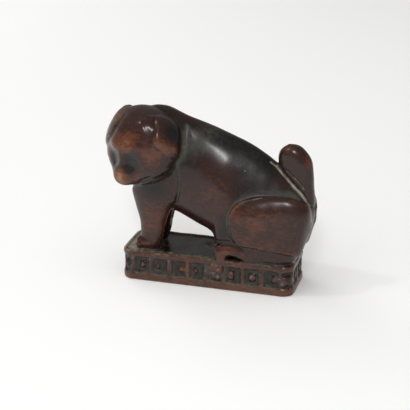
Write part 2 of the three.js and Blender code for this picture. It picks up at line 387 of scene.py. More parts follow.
# The head turns to the near side and bows: its frame is ahead, side (to the near ear) and up
head = {
    "centre": (-12.65, -2.5, 20.6),
    "ahead": 6.8,
    "side": 7.7,
    "up": 7.9,
    "turn": 66.0,
    "bow": 14.0,
}
faceForms = [  # yaw, pitch, wide, tall in degrees; rise in mm
    (-4, -25, 23, 18, 2.1),
    (0, 10, 7, 14, 0.35),
    (-19, 2, 9, 12, -0.55),
    (19, 2, 9, 12, -0.55),
    (-19, 24, 14, 8, 0.35),
    (19, 24, 14, 8, 0.35),
    (-48, -14, 18, 18, 0.3),
    (48, -14, 18, 18, 0.3),
    (-55, 46, 28, 24, -0.8),
]
nearEarRows = [  # front edge yaw, pitch; back edge yaw, pitch; height of its middle
    (58, 66, 118, 56, 0.4),
    (56, 48, 122, 38, 0.7),
    (57, 32, 119, 20, 0.8),
    (64, 19, 112, 4, 0.7),
    (74, 4, 102, -7, 0.6),
    (83, -8, 92, -12, 0.3),
]
farEarRows = [
    (-80, 68, -120, 58, 0.5),
    (-54, 62, -124, 44, 0.75),
    (-42, 51, -122, 26, 0.75),
    (-42, 36, -114, 10, 0.65),
    (-46, 21, -100, -4, 0.5),
    (-54, 8, -84, -10, 0.3),
]


def headAxes():
    turn, bow = math.radians(head["turn"]), math.radians(head["bow"])
    level = np.array((-math.cos(turn), -math.sin(turn), 0))
    upright = np.array((0, 0, 1.0))
    side = np.array((math.sin(turn), -math.cos(turn), 0))
    ahead = level * math.cos(bow) - upright * math.sin(bow)
    up = level * math.sin(bow) + upright * math.cos(bow)
    return np.array((ahead, side, up))


# Points on the head, by degrees of yaw to the near side and of pitch, and a height above the skin
def onHead(yaw, pitch, above=0.0):
    turn, tilt = np.radians(yaw), np.radians(pitch)
    flat = np.cos(tilt)
    aim = np.stack([flat * np.cos(turn), flat * np.sin(turn), np.sin(tilt)], axis=1)
    egg = 1 / np.linalg.norm(aim / np.array((head["ahead"], head["side"], head["up"])), axis=1)
    rise = 0
    for formYaw, formPitch, wide, tall, high in faceForms:
        rise += high * np.exp(-(((yaw - formYaw) / wide) ** 2) - ((pitch - formPitch) / tall) ** 2)
    reach = egg + rise + above
    return np.array(head["centre"]) + np.array((0, 0, plinthTop)) + (aim @ headAxes()) * reach[:, None]


def addHead(mesh):
    addForm(mesh, 128, 96, lambda t, turn: onHead(np.degrees(turn), 180 * t - 90))


# An ear lies on the head as a leaf
def addEar(mesh, rows, sunk=0.6):
    def place(t, turn):
        frontYaw, frontPitch, backYaw, backPitch, high = curveAt(rows, t)
        share = (1 - np.cos(turn)) / 2
        lift = np.sin(turn)
        above = np.where(lift > 0, high * np.sqrt(np.abs(lift)), sunk * lift)
        yaw = frontYaw + (backYaw - frontYaw) * share
        pitch = frontPitch + (backPitch - frontPitch) * share
        return onHead(yaw, pitch, above)

    addForm(mesh, 48, 64, place)


# Feet and toes, with z from the plinth's top; the forefoot and its toes are made on both sides
feet = {
    "forefoot": {"centre": (-12.5, 2.5, 0.9), "radii": (2.3, 1.55, 1.4)},
    "foreToe": {"centre": (-14, 2.5, 0.5), "radii": (0.85, 0.45, 0.85)},
    "foreToesAcross": (-1.05, -0.35, 0.35, 1.05),
    "foreToeSetBack": 0.25,  # for each mm across
    "bentFoot": {"centre": (2.9, -5.3, 0.8), "radii": (1.1, 1, 2.3)},
    "bentToe": {"centre": (1.3, -6, -1.4), "radii": (0.55, 0.6, 0.95)},
    "bentToes": 3,
    "bentToeStep": (0.9, -0.1),  # along x and z
    "farFoot": {"centre": (1.5, 4.9, 0.9), "radii": (1.9, 1.15, 1)},
}


def addToe(mesh, centre, radii):
    addBall(mesh, centre, radii, around=16, along=12)


def addLegs(mesh):
    footX, footY, footZ = feet["forefoot"]["centre"]
    toeX, toeY, toeZ = feet["foreToe"]["centre"]
    for side in (-1, 1):
        addLimb(mesh, forelegRows, side)
        addLimb(mesh, haunchRows, side, square=0.85)
        addLimb(mesh, shankRows, side, around=40, along=60)
        addBall(mesh, (footX, footY * side, footZ), feet["forefoot"]["radii"])
        for across in feet["foreToesAcross"]:
            setBack = feet["foreToeSetBack"] * abs(across)
            addToe(mesh, (toeX + setBack, toeY * side + across, toeZ), feet["foreToe"]["radii"])
    addBall(mesh, **feet["bentFoot"])
    toeX, toeY, toeZ = feet["bentToe"]["centre"]
    stepX, stepZ = feet["bentToeStep"]
    for number in range(feet["bentToes"]):
        addToe(mesh, (toeX + stepX * number, toeY, toeZ + stepZ * number), feet["bentToe"]["radii"])
    addBall(mesh, **feet["farFoot"])


carving = {
    "voxel": 0.17,  # mm
    "mostTriangles": 190000,
    "polishTimes": 8,
    "edgeSoft": 0.14,  # mm to either side of a raised form's outline
    "keptInside": 0.25,  # share of its rise that a raised form keeps away from its edge
    "soiledShare": 0.8,  # of a groove's half width
    "knifeMarks": {"height": 0.012, "length": 2.6},
    "plinthSway": {"height": 0.1, "length": 4.5},
    "rubTimes": 20,
    "fineTimes": 6,  # rounds of smoothing that small and large hollows are told by
    "broadTimes": 60,
}


def meshArrays(mesh):
    points = np.empty(len(mesh.vertices) * 3)
    mesh.vertices.foreach_get("co", points)
    edges = np.empty(len(mesh.edges) * 2, int)
    mesh.edges.foreach_get("vertices", edges)
    return points.reshape(-1, 3), edges.reshape(-1, 2)


def vertexNormals(mesh):
    normals = np.empty(len(mesh.vertices) * 3)
    mesh.vertices.foreach_get("normal", normals)
    return normals.reshape(-1, 3)


# Turns what the modifiers make into the object's own mesh
def applyModifiers(obj):
    graph = bpy.context.evaluated_depsgraph_get()
    mesh = bpy.data.meshes.new_from_object(obj.evaluated_get(graph))
    old = obj.data
    obj.modifiers.clear()
    obj.data = mesh
    bpy.data.meshes.remove(old)


def makeBlank():
    mesh = bmesh.new()
    addPlinth(mesh)
    addFrieze(mesh)
    addLimb(mesh, trunkRows, along=140, around=96)
    addLegs(mesh)
    addLimb(mesh, tailRows)
    addHead(mesh)
    addEar(mesh, nearEarRows)
    addEar(mesh, farEarRows)
    data = bpy.data.meshes.new("puppy")
    mesh.to_mesh(data)
    mesh.free()
    puppy = bpy.data.objects.new("puppy", data)
    bpy.context.collection.objects.link(puppy)
    remesh = puppy.modifiers.new("one skin", "REMESH")
    remesh.mode = "VOXEL"
    remesh.voxel_size = carving["voxel"]
    applyModifiers(puppy)
    return puppy


puppy = makeBlank()
print("one skin:", len(puppy.data.vertices), "points")


# Smoothing by neighbours, on plain arrays
def neighbourMean(points, edges, counts):
    total = np.zeros_like(points)
    for axis in range(points.shape[1]):
        for here, there in ((0, 1), (1, 0)):
            total[:, axis] += np.bincount(edges[:, here], points[edges[:, there], axis], len(points))
    return total / counts[:, None]


def smoothed(points, edges, times, amount=0.5):
    counts = np.maximum(np.bincount(edges.ravel(), minlength=len(points)), 1)
    points = points.copy()
    amount = np.broadcast_to(amount, (len(points),))[:, None]
    for _ in range(times):
        points += (neighbourMean(points, edges, counts) - points) * amount
    return points


def ramp(values, low, high):
    share = np.clip((values - low) / (high - low), 0, 1)
    return share * share * (3 - 2 * share)


# The voxels' steps are smoothed away, most on the puppy, so that the plinth keeps its edges
def polish(obj):
    points, edges = meshArrays(obj.data)
    x, y, z = points.T
    overPlinth = (np.abs(x) < plinth["length"] / 2 + 0.2) & (np.abs(y) < plinth["width"] / 2 + 0.05)
    onPuppy = np.where(overPlinth, ramp(z, plinthTop - 0.1, plinthTop + 0.4), 1.0)
    points = smoothed(points, edges, 2, 0.5 * ramp(z, 0.2, 0.5))
    points = smoothed(points, edges, carving["polishTimes"], 0.5 * onPuppy)
    obj.data.vertices.foreach_set("co", points.ravel())
    obj.data.update()


polish(puppy)
print("polished")

# Carving
# What the knife left and what time did, with some painted shade, drawn on the photograph in pixels and
# cast onto the surface by the camera's rays. Lengths are in mm. "other" makes the same on the far side of
# the body, or on the other side of the head. "deep" is cut away, and wear, stain and dust are left on the
# surface, some of the stain being painted shade; what isn't named is none.
grooves = {
    "behind the head": {
        "line": [
            (184.6, 127), (184.8, 137), (183.6, 147), (180.5, 156), (176, 164), (169, 171), (158, 177),
            (143, 180.5),
        ],
        "half": 1.1, "deep": 0.22, "other": "head", "stainAndShade": 0.9, "dust": 0.2,
    },
    "under the jaw": {
        "line": [(143, 180.5), (134, 184.6), (124, 183.2)],
        "half": 0.35, "deep": 0.1, "stainAndShade": 0.6,
    },
    "shoulder": {
        "line": [(177.5, 165), (178.6, 175), (178.8, 185), (177.5, 195), (175.9, 203)],
        "half": 0.5, "deep": 0.3, "other": "body", "stainAndShade": 0.4, "dust": 0.3,
    },
    "ear's front corner": {
        "line": [(152.6, 143.6), (156, 147.6), (160.5, 151)],
        "half": 0.3, "deep": 0.14, "other": "head", "stainAndShade": 0.5,
    },
    "ear's tip": {
        "line": [(167, 157), (172, 159.3), (177, 159)],
        "half": 0.4, "deep": 0.08, "other": "head", "stainAndShade": 0.2,
    },
    "before the tail": {
        "line": [
            (271, 162), (276.8, 166.5), (281, 172.1), (286.7, 178.7), (295.5, 188.6), (301, 194.1),
            (306.5, 201.3), (310.5, 207),
        ],
        "half": 0.4, "deep": 0.3, "other": "body", "dust": 1.35,
    },
    "on the tail": {
        "line": [(286.7, 170.5), (292.2, 176), (296.6, 180.4), (301, 185.3), (304, 190)],
        "half": 0.22, "deep": 0.25, "other": "body", "stainAndShade": 0.2, "dust": 0.9,
    },
    "above the haunch": {
        "line": [
            (227, 224), (229, 212), (234, 203.5), (242, 197), (252, 193.3), (263, 191.8), (276, 192.5),
            (288, 195), (299, 199),
        ],
        "half": 0.6, "other": "body", "stainAndShade": 0.7, "dust": 0.4,
    },
    "far ear": {
        "line": [(127, 106), (122, 110), (117, 117), (113, 124), (110, 131), (107.5, 138)],
        "half": 1.2, "stainAndShade": -0.6, "dust": 1.0,
    },
    "back of the neck": {
        "line": [(188, 127), (188.5, 137), (186, 150), (181.5, 161)],
        "half": 0.9, "other": "body", "stainAndShade": 0.7, "dust": 0.1,
    },
    "haunch and foot": {
        "line": [(231, 229.5), (231.8, 235), (235, 240.5), (240, 245), (248, 247), (258, 248.3)],
        "half": 0.35, "deep": 0.25, "other": "body", "stainAndShade": 0.7,
    },
    "above the foot": {
        "line": [(216, 241), (222, 241.2), (229, 241.6)],
        "half": 0.35, "deep": 0.2, "other": "body", "stainAndShade": 0.7,
    },
    "mouth's corner": {
        "line": [(144, 168), (147.5, 169), (151, 171.5)],
        "half": 0.4, "deep": 0.1, "other": "head", "stainAndShade": 0.35,
    },
}
toeLines = {
    "first toe": [(140.5, 241), (141.5, 246.5)],
    "second toe": [(145, 241.5), (146, 247.3)],
    "third toe": [(150.5, 242), (151.3, 248)],
}
for name, line in toeLines.items():
    grooves[name] = {"line": line, "half": 0.2, "deep": 0.16, "other": "body", "stainAndShade": 0.6, "dust": 0.2}
# the worn panel's block is scored twice
for u, v in ((213.4, 273.5), (217.6, 274)):
    line = [(u, v), (u, v + 6.5)]
    grooves[f"block's line at {u}"] = {"line": line, "half": 0.16, "deep": 0.14, "stainAndShade": 0.6, "dust": 0.2}

# Forms with a crisp edge: outline, how far they rise, how soon that fades inwards, the stretch along
# x that they keep to, how soft the edge is, and the stretch of the picture in which they die out
raised = {
    "haunch": {
        "outline": [
            (229, 233), (228.6, 222), (229.6, 214), (233, 207), (238.5, 202.5), (246, 199.3),
            (257, 197.2), (268, 197.2), (281, 198.5), (291, 200.3), (299.4, 203.9), (309, 208),
            (330, 212), (330, 262), (262, 250), (250, 247.6), (240, 245.4), (233.5, 240.5),
        ],
        "rise": 0.62, "fade": 2.2, "other": "body", "from": 2.5, "to": 25, "soft": 0.2,
    },
    "ear": {
        "outline": [
            (156, 118.6), (156.8, 125), (155.4, 132), (153.6, 139), (153, 144), (156, 147.6),
            (160, 150.6), (165, 154.2), (169, 157), (174, 158.5), (179, 158), (183, 149), (185.5, 138),
            (185.5, 127), (181, 122.5), (176, 120.2), (168, 118.2), (161, 118),
        ],
        "rise": 0.18, "fade": 60, "from": -25, "to": 0, "soft": 0.35,
    },
    "crown": {
        "outline": [
            (120, 104), (126, 108.5), (131, 112), (135.5, 115), (140, 117.3), (145.5, 118.6),
            (151, 119.3), (159, 118.4), (168, 118.4), (175, 120.8), (181, 123.5), (186, 126.5),
            (186, 96), (120, 96),
        ],
        "rise": 0.2, "fade": 1.3, "from": -25, "to": -3, "soft": 0.3, "diesOut": (150, 175),
    },
    "muzzle": {
        "outline": [
            (105, 172), (112, 167), (117, 164), (122, 164), (126, 168), (129, 175), (131, 183),
            (130, 192), (105, 192),
        ],
        "rise": 0.22, "fade": 2, "from": -25, "to": 0, "soft": 1.0,
    },
    "hollow before the ear": {
        "outline": [
            (143.8, 121), (148, 119.6), (155.2, 119.4), (156, 126), (154.6, 134), (153, 142.5),
            (151.4, 144), (149.5, 137.5), (146.5, 130),
        ],
        "rise": -0.4, "fade": 9, "from": -25, "to": 0, "soft": 0.4,
    },
    "shoulder and foreleg": {
        "outline": [
            (133, 187), (179, 163), (179, 187), (176, 204), (168, 216), (163, 230), (163, 262),
            (130, 262),
        ],
        "rise": 0.3, "fade": 1.2, "other": "body", "from": -25, "to": 0,
    },
}
# Where hands have rubbed the carving soft: lines to smooth along, and how far to either side
softened = {
    "ear's lower edge": {
        "line": [(158, 151), (163, 154), (169, 157.5), (175, 159)],
        "radius": 1.3, "other": "head",
    },
    "jaw": {
        "line": [(180, 157), (176, 163), (169, 171), (158, 177), (143, 181), (130, 184)],
        "radius": 0.9, "other": "head",
    },
    "neck's edge": {
        "line": [(187, 124), (187.5, 137), (185.5, 150), (181, 162)],
        "radius": 1.1, "other": "body",
    },
    "haunch's bottom": {
        "line": [(252, 248.5), (262, 250.5), (276, 252.5), (300, 256.5)],
        "radius": 1.1, "other": "body",
    },
    "before the ear": {"line": [(148, 124), (151, 134), (153, 144)], "radius": 1.2, "other": "head"},
    "eyes": {"line": [(136, 156), (135, 163), (131, 170)], "radius": 1.5, "other": "head"},
    "bridge": {"line": [(113, 140), (117, 145), (119, 152), (120, 160), (117, 166)], "radius": 1.6},
    "brow": {"line": [(137, 121), (146, 126), (152, 130)], "radius": 1.6},
}
dents = {
    "eye socket": {"at": (132, 160), "radius": 1.9, "deep": 0.2, "other": "head", "stainAndShade": 0.35},
    "below the eye": {"at": (131.5, 168), "radius": 1.6, "deep": 0.15, "other": "head", "stainAndShade": 0.1},
    "brow's bulge": {"at": (145, 124), "radius": 2.0, "deep": -0.6},
    "haunch's bulge": {"at": (246, 214), "radius": 4, "deep": -0.3, "other": "body"},
    "eye": {"at": (131, 160.8), "radius": 0.45, "deep": -0.16, "other": "head", "stainAndShade": 0.1},
    "ear's hollow": {"at": (172.5, 133), "radius": 1.5, "deep": 0.3, "other": "head", "stainAndShade": 0.5},
    "neck's hollow": {"at": (187, 138), "radius": 3.0, "deep": 0.3, "other": "body", "stainAndShade": 0.2},
    "nostril": {"at": (113.4, 171.5), "radius": 0.35, "deep": 0.12, "stainAndShade": 0.3},
    # the small hole under the belly's end is cut; its near-black stain is painted shade
    "painted shade in the hole under the belly's end": {"at": (210.5, 244.8), "radius": 0.9, "deep": 0.3, "stainAndShade": 1.2},
}
patches = {
    "far ear": {"at": (118, 115.5), "radius": 2.0, "wear": 0.5},
    "frieze's light fields": {"at": (187, 270), "radius": 1.6, "wear": 0.5, "stainAndShade": -0.7, "dust": -0.2},
    "forehead": {"at": (127, 146), "radius": 1.8, "wear": 0.6, "other": "head"},
    "brow": {"at": (128.5, 138), "radius": 2.2, "wear": 0.35},
    "muzzle": {"at": (117.5, 176), "radius": 1.6, "wear": 0.68},
    "ear's worn edge": {"at": (174, 149.5), "radius": 0.95, "wear": 0.65, "other": "head"},
    "cheek": {"at": (150, 158), "radius": 2.8, "wear": 0.38, "other": "head"},
    "ear's front": {"at": (164, 146), "radius": 2.0, "wear": 0.45, "other": "head"},
    "eye": {"at": (132.5, 158), "radius": 1.3, "wear": -0.6, "stainAndShade": 0.5, "dust": 0.2},
    "below the eye": {"at": (130.5, 168), "radius": 1.4, "wear": -0.5, "stainAndShade": 0.5, "dust": 0.2},
    "far eye": {"at": (117, 159), "radius": 1.3, "wear": -0.7, "stainAndShade": 0.9, "dust": 0.4},
    "ear's hollow": {"at": (172.5, 133), "radius": 1.8, "wear": -0.5, "stainAndShade": 0.5, "other": "head"},
    "crown": {"at": (150, 108), "radius": 3.5, "wear": -0.2},
    "nape": {"at": (172, 112), "radius": 3.5, "wear": -0.5, "stainAndShade": 0.4, "dust": 0.2},
    "jaw": {"at": (137, 179), "radius": 1.5, "wear": 0.5, "stainAndShade": -0.2},
    "chin": {"at": (121, 181), "radius": 1.3, "wear": 0.5, "stainAndShade": -0.3, "dust": 0.2},
    "snout": {"at": (121, 172), "radius": 1.1, "wear": 0.4, "stainAndShade": -0.2},
}
# the same on both sides of the body
bodyPatches = {
    "neck": {"at": (190, 148), "radius": 3.2, "wear": -0.5, "stainAndShade": 0.6, "dust": 0.5},
    "behind the shoulder": {"at": (188, 172), "radius": 2.6, "wear": -0.4, "stainAndShade": 0.5, "dust": 0.15},
    "flank": {"at": (214, 188), "radius": 4.2, "wear": 0.2, "stainAndShade": -0.2},
    "before the haunch": {"at": (240, 190), "radius": 2.6, "wear": -0.2, "stainAndShade": 0.4, "dust": 0.15},
    "loin": {"at": (262, 178), "radius": 3.4, "wear": -0.5, "stainAndShade": 0.6, "dust": 0.1},
    "back": {"at": (225, 135), "radius": 4.5, "wear": -0.5, "stainAndShade": 0.6, "dust": 0.15},
    "lower back": {"at": (255, 152), "radius": 4.5, "wear": -0.5, "stainAndShade": 0.6, "dust": 0.15},
    # painted shadow: the groin, where the belly meets the thigh, is darkened as the shade that falls there
    "groin's painted shadow": {"at": (222, 234), "radius": 1.6, "wear": -0.4, "stainAndShade": 0.8, "dust": 0.1},
    "thigh's front": {"at": (223, 220), "radius": 1.6, "wear": -0.3, "stainAndShade": 0.5, "dust": 0.2},
    "above the haunch": {"at": (290, 196), "radius": 2.4, "wear": -0.4, "stainAndShade": 0.3, "dust": 0.3},
    "tail's edge": {"at": (308, 163), "radius": 1.2, "wear": 0.5},
    "tail's top": {"at": (287, 149), "radius": 0.9, "wear": 0.5},
    "tail's middle": {"at": (295, 165), "radius": 2.2, "wear": -0.2, "stainAndShade": 0.3, "dust": 0.2},
    "tail's root": {"at": (304, 190), "radius": 2.2, "wear": -0.5, "stainAndShade": 0.6, "dust": 0.35},
    "haunch's front": {"at": (235, 212), "radius": 1.9, "wear": 0.22},
    "haunch": {"at": (257, 212), "radius": 4.4, "wear": 0.15},
    "haunch's bottom": {"at": (262, 234), "radius": 5.0, "wear": 0.25},
    "haunch's back": {"at": (303, 213), "radius": 1.7, "wear": -0.2, "stainAndShade": 0.3},
    "foreleg": {"at": (152, 208), "radius": 3.2, "wear": 0.3},
    # partly stain and partly painted shadow: the head and chin shade the chest and the leg below them
    "chest's stain and painted shadow": {"at": (158, 189), "radius": 2.4, "wear": -0.4, "stainAndShade": 0.8},
    "below the chin, stain and painted shadow": {"at": (146, 188), "radius": 1.6, "wear": -0.3, "stainAndShade": 0.4},
    "shin": {"at": (149, 226), "radius": 2.4, "wear": 0.4},
    "toes": {"at": (146, 245), "radius": 1.3, "wear": 0.12, "stainAndShade": -0.3, "dust": 0.2},
    "foot's side": {"at": (224, 256), "radius": 1.4, "wear": 0.45, "stainAndShade": -0.4, "dust": 0.2},
    "withers": {"at": (209, 129), "radius": 2.6, "wear": -0.2, "dust": 0.3},
    "foot": {"at": (228, 249), "radius": 1.6, "wear": 0.3},
}


# How the plinth has aged, part by part, and the painted shade that darkens all that faces up, on the puppy
# too
plinthAgeAndShade = {
    "field": {"stainAndShade": 0.6, "wear": -0.2, "dust": 0.2},
    "bars and studs": {"wear": 0.05, "dust": 0.75},
    "frieze's clouds": {"stainAndShade": 0.5},
    "frieze's small clouds": {"dust": 0.35},
    "rims": {"wear": 0.35, "dust": 0.6},
    "top rim": {"wear": -0.2},
    "rims' upper faces": {"dust": 0.35},
    "top rim's left end": {"dust": 0.5},
    "lawn": {"stainAndShade": 0.5, "dust": 0.35},
    "lawn's near edge": {"dust": 0.95},
    "lawn's clouds": {"dust": 0.3},
    # painted shade: what faces up is darkened by its normal, where the lamps light it most
    "painted shade on all that faces up": {"stainAndShade": 0.35},
}


def otherSide(points, kind):
    mirrored = points.copy()
    if kind == "body":
        mirrored[:, 1] *= -1
    else:
        side = headAxes()[1]
        centre = np.array(head["centre"]) + np.array((0, 0, plinthTop))
        mirrored -= 2 * ((points - centre) @ side)[:, None] * side
    return mirrored


# The blank's surface, and what the carving does at each of its points
class Skin:
    def __init__(self, mesh):
        self.points, self.edges = meshArrays(mesh)
        self.normals = vertexNormals(mesh)
        corners = [tuple(face.vertices) for face in mesh.polygons]
        self.tree = BVHTree.FromPolygons([tuple(point) for point in self.points], corners)
        self.rise = np.zeros(len(self.points))
        self.rubbed = np.zeros(len(self.points))
        self.ageAndShade = {name: np.zeros(len(self.points)) for name in ("wear", "stainAndShade", "dust")}

    # the points and normals, and then the same as they lie on the other side
    def sides(self, marks):
        yield self.points, self.normals
        kind = marks.get("other")
        if kind:
            turned = otherSide(self.points, kind)
            yield turned, otherSide(self.points + self.normals, kind) - turned

    def mark(self, marks, share):
        for name, amount in self.ageAndShade.items():
            amount += marks.get(name, 0) * share


# Where the camera's rays through a line of pixels, or through a single one, meet the surface
def castOn(tree, pixels, step=0.5):
    places = []
    for (u, v), (nextU, nextV) in zip(pixels, pixels[1:] or pixels):
        count = max(1, round(math.hypot(nextU - u, nextV - v) / step))
        for k in range(count):
            share = k / count
            eye, ray = pixelRay(u + (nextU - u) * share, v + (nextV - v) * share)
            hit = tree.ray_cast(eye, ray)[0]
            if hit:
                places.append(hit)
    return np.array(places)


# How far each point is from the nearest of some places, up to a limit
def nearness(points, places, limit):
    far = np.full(len(points), limit * 2.0)
    if len(places) == 0:
        return far
    low, high = places.min(axis=0) - limit, places.max(axis=0) + limit
    close = np.flatnonzero(((points > low) & (points < high)).all(axis=1))
    mostGaps = 3000000  # worked out at a time, to spare memory
    chunk = max(1, mostGaps // len(places))
    for start in range(0, len(close), chunk):
        part = close[start : start + chunk]
        gaps = np.linalg.norm(points[part][:, None] - places[None], axis=2)
        far[part] = gaps.min(axis=1)
    return far


# Distance in mm inside an outline drawn in pixels, negative outside
def insideOutline(uv, outline):
    u, v = uv.T
    nearest = np.full(len(uv), np.inf)
    crossings = np.zeros(len(uv), int)
    for (u1, v1), (u2, v2) in zip(outline, outline[1:] + outline[:1]):
        du, dv = u2 - u1, v2 - v1
        share = np.clip(((u - u1) * du + (v - v1) * dv) / (du * du + dv * dv), 0, 1)
        nearest = np.minimum(nearest, np.hypot(u - u1 - share * du, v - v1 - share * dv))
        if v1 != v2:
            crossings += ((v1 > v) != (v2 > v)) & (u < u1 + (v - v1) * du / dv)
    return np.where(crossings % 2 == 1, nearest, -nearest) / cameraSettings["pixelsPerMm"]


# A slow unevenness, as a knife leaves it: waves in many directions
def waves(points, length):
    chance = np.random.default_rng(3)
    directions = chance.normal(size=(12, 3))
    directions /= np.linalg.norm(directions, axis=1)[:, None]
    phases = chance.uniform(0, 2 * math.pi, 12)
    return np.sin(points @ directions.T * (2 * math.pi / length) + phases).mean(axis=1) * 2.5


def raiseForms(skin):
    kept = carving["keptInside"]
    back = np.array(cameraAxes()[3])
    for form in raised.values():
        soft = form.get("soft", carving["edgeSoft"])
        for here, facing in skin.sides(form):
            x, y, z = here.T
            seen = project(here)
            inside = insideOutline(seen, form["outline"])
            near = (y < -0.5) & (x > form["from"]) & (x < form["to"]) & (z > plinthTop + 0.1)
            fading = kept + (1 - kept) * np.exp(-np.maximum(inside, 0) / form["fade"])
            shape = ramp(inside, -soft, soft) * fading
            if "diesOut" in form:
                shape = shape * (1 - ramp(seen[:, 0], *form["diesOut"]))
            facesCamera = ramp(facing @ back, 0.02, 0.3)
            skin.rise += form["rise"] * shape * near * facesCamera


def cutGrooves(skin):
    for groove in grooves.values():
        half = groove["half"]
        places = castOn(skin.tree, groove["line"])
        for here, _ in skin.sides(groove):
            gap = nearness(here, places, half * 2.5)
            section = 0.5 + 0.5 * np.cos(math.pi * np.clip(gap / half, 0, 1))
            skin.rise -= groove.get("deep", 0) * section
            skin.mark(groove, np.exp(-((gap / (half * carving["soiledShare"])) ** 2)))


def findRubbed(skin):
    for line in softened.values():
        places = castOn(skin.tree, line["line"])
        for here, _ in skin.sides(line):
            gap = nearness(here, places, line["radius"] * 2.5)
            skin.rubbed = np.maximum(skin.rubbed, np.exp(-((gap / line["radius"]) ** 2)))


def pressSpots(skin):
    both = [{"other": "body"} | patch for patch in bodyPatches.values()]
    for spot in [*dents.values(), *patches.values(), *both]:
        reach = spot["radius"] * 2.6
        places = castOn(skin.tree, [spot["at"]])
        for here, _ in skin.sides(spot):
            gap = nearness(here, places, reach)
            share = np.exp(-((gap / spot["radius"]) ** 2)) * (gap < reach)
            skin.rise -= spot.get("deep", 0) * share
            skin.mark(spot, share)


# How much of each of the plinth's parts a point belongs to, and how much painted shade it takes for facing
# up
def plinthShares(skin):
    points = skin.points
    x, y, z = points.T
    up = skin.normals[:, 2]
    frieze = ramp(z, plinth["bottomRim"] - 0.1, plinth["bottomRim"] + 0.15)
    frieze = frieze * (1 - ramp(z, friezeTop - 0.15, friezeTop + 0.1))
    # how far outside the plinth's sides, negative within
    outside = np.maximum(np.abs(x) - plinth["length"] / 2, np.abs(y) - plinth["width"] / 2)
    frieze = frieze * (outside > -1.5)
    field = frieze * ramp(-outside, 0.12, 0.5)
    rims = (z < plinthTop + 0.05) * (1 - frieze) * (outside > -0.7)
    lawn = (z < plinthTop - 0.1) & (z > friezeTop + 0.5) & (outside < -0.7)
    return {
        "field": field,
        "bars and studs": frieze - field,
        "frieze's clouds": waves(points, 1.5) * frieze,
        "frieze's small clouds": waves(points[:, ::-1], 1.2) * frieze,
        "rims": rims,
        "top rim": rims * (z > friezeTop),
        "rims' upper faces": rims * ramp(up, 0.4, 0.9),
        "top rim's left end": ramp(-x, 14, 16.5) * (z > friezeTop + 0.6) * (z < plinthTop + 0.1),
        "lawn": lawn,
        "lawn's near edge": np.maximum(ramp(-y, 2.8, 4.9), ramp(-x, 11.5, 15)) * lawn,
        "lawn's clouds": waves(points, 1.8) * lawn,
        # painted shade on every point that faces up, the puppy's too, not only the plinth's
        "painted shade on all that faces up": np.maximum(up, 0) ** 2,
    }


# The points after the carving, with the knife's marks, the plinth's sway and the rubbed places
def movedPoints(skin):
    knife, sway = carving["knifeMarks"], carving["plinthSway"]
    z = skin.points[:, 2]
    rise = skin.rise + knife["height"] * waves(skin.points, knife["length"]) * ramp(z, 0.3, 1)
    points = skin.points + skin.normals * rise[:, None]
    onPlinth = ramp(points[:, 2], 0.4, 1.4) * (1 - ramp(points[:, 2], plinthTop, plinthTop + 1.5))
    points[:, 2] += sway["height"] * waves(points, sway["length"]) * onPlinth
    points = smoothed(points, skin.edges, 2, 0.35)
    return smoothed(points, skin.edges, carving["rubTimes"], 0.5 * skin.rubbed)


# How far the surface stands out from a smoothed copy of itself: the material wears what stands out
# and darkens what lies deep
def standsOut(points, edges, normals, times):
    return ((points - smoothed(points, edges, times)) * normals).sum(axis=1)


def carve(obj):
    mesh = obj.data
    skin = Skin(mesh)
    raiseForms(skin)
    cutGrooves(skin)
    findRubbed(skin)
    pressSpots(skin)
    for name, share in plinthShares(skin).items():
        skin.mark(plinthAgeAndShade[name], share)
    points = movedPoints(skin)
    mesh.vertices.foreach_set("co", points.ravel())
    mesh.update()
    normals = vertexNormals(mesh)
    layers = dict(skin.ageAndShade)
    layers["fine"] = standsOut(points, skin.edges, normals, carving["fineTimes"])
    layers["broad"] = standsOut(points, skin.edges, normals, carving["broadTimes"])
    for name, values in layers.items():
        layer = mesh.attributes.new(name, "FLOAT", "POINT")
        layer.data.foreach_set("value", values.astype(np.float32))


carve(puppy)
print("carved")


# Fewer triangles, metres and smooth shading
def turnToMetres(obj):
    triangles = sum(len(face.vertices) - 2 for face in obj.data.polygons)
    if triangles > carving["mostTriangles"]:
        fewer = obj.modifiers.new("fewer", "DECIMATE")
        fewer.ratio = carving["mostTriangles"] / triangles
        applyModifiers(obj)
    obj.data.transform(Matrix.Scale(mm, 4))
    obj.data.polygons.foreach_set("use_smooth", [True] * len(obj.data.polygons))
    obj.data.update()
    print("finished:", len(obj.data.polygons), "faces from", triangles, "triangles")


turnToMetres(puppy)


# Materials
def linear(hexColour):
    values = [int(hexColour[k : k + 2], 16) / 255 for k in (0, 2, 4)]
    return tuple(v / 12.92 if v <= 0.04045 else ((v + 0.055) / 1.055) ** 2.4 for v in values) + (1,)


def newMaterial(name):
    material = bpy.data.materials.new(name)
    material.use_nodes = True
    return material, material.node_tree, material.node_tree.nodes["Principled BSDF"]


def plug(tree, socket, value):
    if isinstance(value, bpy.types.NodeSocket):
        tree.links.new(value, socket)
    else:
        socket.default_value = value


# Sockets are named, or given by their place as i0, i1 and so on; any other value is the node's own
def addNode(tree, kind, **values):
    node = tree.nodes.new(kind)
    for name, value in values.items():
        if name in node.inputs:
            plug(tree, node.inputs[name], value)
        elif name[0] == "i" and name[1:].isdigit():
            plug(tree, node.inputs[int(name[1:])], value)
        else:
            setattr(node, name, value)
    return node


def maths(tree, operation, one, two=0.5, clamp=False):
    return addNode(tree, "ShaderNodeMath", operation=operation, i0=one, i1=two, use_clamp=clamp).outputs[0]


def blend(tree, share, one, two):
    mix = addNode(tree, "ShaderNodeMix", data_type="RGBA")
    for name, value in (("Factor", share), ("A", one), ("B", two)):
        plug(tree, next(i for i in mix.inputs if i.name == name and i.enabled), value)
    return next(o for o in mix.outputs if o.enabled)


def smoothStep(tree, value, low, top):
    kind = {"interpolation_type": "SMOOTHSTEP"}
    return addNode(tree, "ShaderNodeMapRange", i0=value, i1=low, i2=top, **kind).outputs[0]
